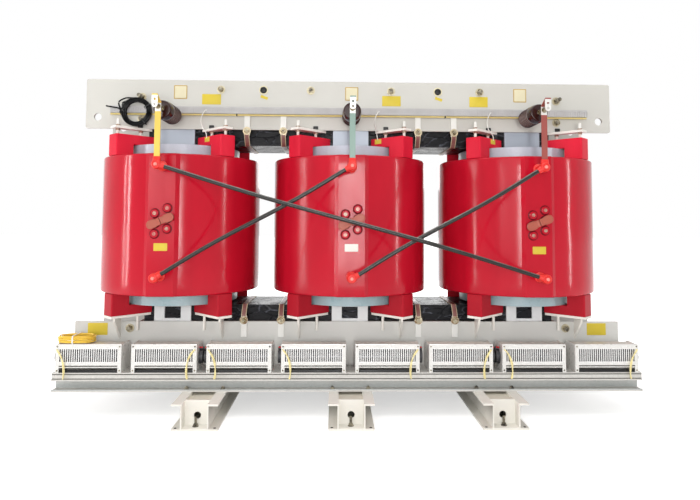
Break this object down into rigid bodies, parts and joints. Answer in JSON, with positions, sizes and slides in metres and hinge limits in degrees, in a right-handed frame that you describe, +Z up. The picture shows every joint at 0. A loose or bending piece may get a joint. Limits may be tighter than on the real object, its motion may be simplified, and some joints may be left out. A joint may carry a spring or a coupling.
{
  "type": "power transformer",
  "caption": "Three-phase cast-resin dry-type power transformer on base rails, with red high-voltage coils, delta links, line terminals and rows of cooling fans",
  "frame": {"origin": "on the floor under the middle limb, at the centre of the footprint", "axes": "+X along the core to the right as seen from the high-voltage side, +Y to the low-voltage side at the back, +Z up"},
  "size_m": [2.9006, 1.146, 1.695],
  "materials": {
    "frame_paint": "satin warm light grey paint",
    "beam_zinc": "satin light grey paint on folded sheet",
    "fan_zinc": "bright zinc-coated sheet",
    "fan_dark": "dark grey rotors and motors",
    "lead_yellow": "yellow sheathed wire",
    "core_black": "black varnish over laminated steel edges",
    "board_tan": "brown pressboard",
    "tie_grey": "pale blue-grey glass laminate",
    "bolt_zinc": "yellow-passivated zinc on steel",
    "strap_brown": "brown glass-fibre strap",
    "lv_resin": "blue-grey resin-bonded foil winding",
    "hv_resin": "glossy deep red cast epoxy",
    "tap_brown": "brown-red moulded strip",
    "block_red": "red cast resin",
    "boot_red": "dark red moulded boot",
    "link_grey": "grey shrink sleeve",
    "bar_yellow": "yellow sleeved bar with a tinned end",
    "bar_green": "grey-green sleeved bar with a tinned end",
    "bar_red": "red sleeved bar with a tinned end",
    "post_resin": "dark brown cast resin",
    "duct_grey": "lilac-grey plastic wiring duct",
    "lead_white": "white sensor wire",
    "bar_tinned": "bare bright flat bar",
    "cable_black": "black sheathed cable"
  },
  "bodies": {
    "root": {"rail_left": "frame_paint", "rail_centre": "frame_paint", "rail_right": "frame_paint", "front_fan_beam": "beam_zinc", "back_fan_beam": "beam_zinc", "front_fan_casings": "fan_zinc", "back_fan_casings": "fan_zinc", "front_fan_guards": "fan_zinc", "back_fan_guards": "fan_zinc", "front_fan_drives": "fan_dark", "back_fan_drives": "fan_dark", "fan_leads": "lead_yellow", "front_lower_clamp": "frame_paint", "back_lower_clamp": "frame_paint", "lower_yoke": "core_black", "core_limbs": "core_black", "upper_yoke": "core_black", "yoke_boards": "board_tan", "front_tie_plates": "tie_grey", "back_tie_plates": "tie_grey", "front_upper_clamp": "frame_paint", "back_upper_clamp": "frame_paint", "clamp_bolts": "bolt_zinc", "lower_yoke_straps": "strap_brown", "upper_yoke_straps": "strap_brown", "strap_brackets": "frame_paint", "lv_windings": "lv_resin", "hv_coil_a": "hv_resin", "hv_coil_b": "hv_resin", "hv_coil_c": "hv_resin", "tap_links": "tap_brown", "lower_blocks": "block_red", "upper_blocks": "block_red", "block_seats": "frame_paint", "press_plates": "frame_paint", "hv_terminals": "boot_red", "delta_link_1": "link_grey", "delta_link_2": "link_grey", "delta_link_3": "link_grey", "line_bar_a": "bar_yellow", "line_bar_b": "bar_green", "line_bar_c": "bar_red", "post_insulators": "post_resin", "post_studs": "bolt_zinc", "wiring_duct": "duct_grey", "sensor_loom": "lead_yellow", "sensor_leads": "lead_white", "lv_bars": "bar_tinned", "neutral_bar": "bar_tinned", "neutral_leads": "bar_tinned", "lv_posts": "post_resin", "cable_coil": "cable_black", "cable_tail": "cable_black", "wire_hank": "lead_yellow", "wire_tail": "lead_yellow"}
  },
  "joints": []
}
